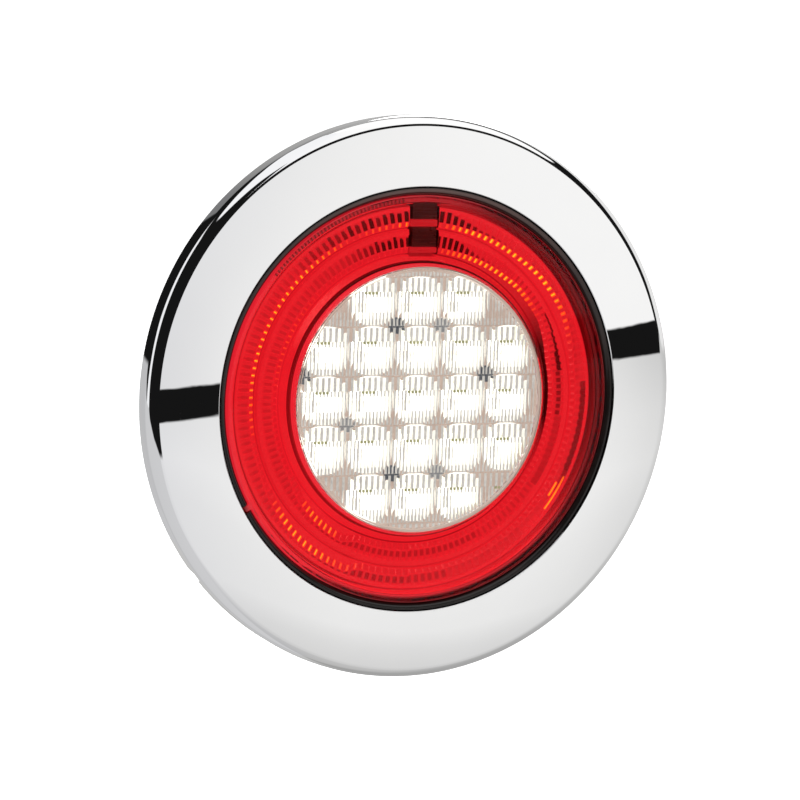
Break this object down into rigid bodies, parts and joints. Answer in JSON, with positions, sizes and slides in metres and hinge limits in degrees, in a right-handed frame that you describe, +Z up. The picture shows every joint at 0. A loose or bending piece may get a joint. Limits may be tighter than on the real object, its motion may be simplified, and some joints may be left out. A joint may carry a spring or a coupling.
{
  "type": "trailer tail light",
  "caption": "Round trailer tail light with a clear white centre lamp, a red light-guide ring and a pull-off chrome bezel.",
  "frame": {"origin": "centre of the mounting plane, on the rear face of the panel gasket and on the lamp's axis", "axes": "+Z up, +X to the right seen from the front, -Y out of the lens; +Y points into the vehicle's panel along the lamp's axis"},
  "size_m": [0.1502, 0.0488, 0.1502],
  "materials": {
    "chrome": "mirror chrome plate",
    "black_housing": "black glass-filled moulding, glossy front rim",
    "gasket_foam": "closed-cell foam",
    "red_lens": "clear red polycarbonate",
    "clear_lens": "clear fluted polycarbonate",
    "seal_rubber": "smooth black rubber",
    "zinc_steel": "zinc plated",
    "red_guide": "lit red acrylic light guide",
    "red_tray": "red moulded reflector",
    "black_gloss": "black gloss moulding",
    "pale_tray": "pale warm grey reflector",
    "board_white": "white solder mask",
    "heat_aluminium": "plain rolled sheet",
    "white_led": "lit white LED",
    "red_led": "lit red LED",
    "board_green": "green solder mask",
    "component_black": "moulded epoxy",
    "can_aluminium": "drawn can",
    "terminal_green": "moulded terminal block"
  },
  "bodies": {
    "lamp": {"housing": "black_housing", "panel_gasket": "gasket_foam", "red_ring_lens": "red_lens", "clear_centre_lens": "clear_lens", "lens_seal": "seal_rubber", "mounting_screw_1": "zinc_steel", "mounting_screw_2": "zinc_steel", "mounting_screw_3": "zinc_steel", "tail_reflector": "red_tray", "outer_light_guide": "red_guide", "inner_light_guide": "red_guide", "guide_clip": "black_gloss", "divider_ring": "black_gloss", "optic_tray": "pale_tray", "main_board": "board_white", "heat_spreader": "heat_aluminium", "white_led_01": "white_led", "white_led_02": "white_led", "white_led_03": "white_led", "white_led_04": "white_led", "white_led_05": "white_led", "white_led_06": "white_led", "white_led_07": "white_led", "white_led_08": "white_led", "white_led_09": "white_led", "white_led_10": "white_led", "white_led_11": "white_led", "white_led_12": "white_led", "white_led_13": "white_led", "white_led_14": "white_led", "white_led_15": "white_led", "white_led_16": "white_led", "white_led_17": "white_led", "white_led_18": "white_led", "white_led_19": "white_led", "white_led_20": "white_led", "white_led_21": "white_led", "red_led_01": "red_led", "red_led_02": "red_led", "red_led_03": "red_led", "red_led_04": "red_led", "red_led_05": "red_led", "red_led_06": "red_led", "red_led_07": "red_led", "red_led_08": "red_led", "board_screw_1": "zinc_steel", "board_screw_2": "zinc_steel", "board_screw_3": "zinc_steel", "driver_board": "board_green", "power_inductor": "component_black", "input_capacitor": "can_aluminium", "regulator": "component_black", "protection_diode": "component_black", "wire_terminal": "terminal_green", "cable_gland": "black_housing", "gland_seal": "seal_rubber", "gland_cap": "black_housing", "gland_locknut": "black_housing", "breather_vent": "black_housing"},
    "bezel": {"chrome_bezel": "chrome"}
  },
  "joints": [
    {"name": "bezel_pull", "type": "slide", "parent": "lamp", "child": "bezel", "axis": [0, -1, 0], "range_m": [0, 0.03]}
  ]
}
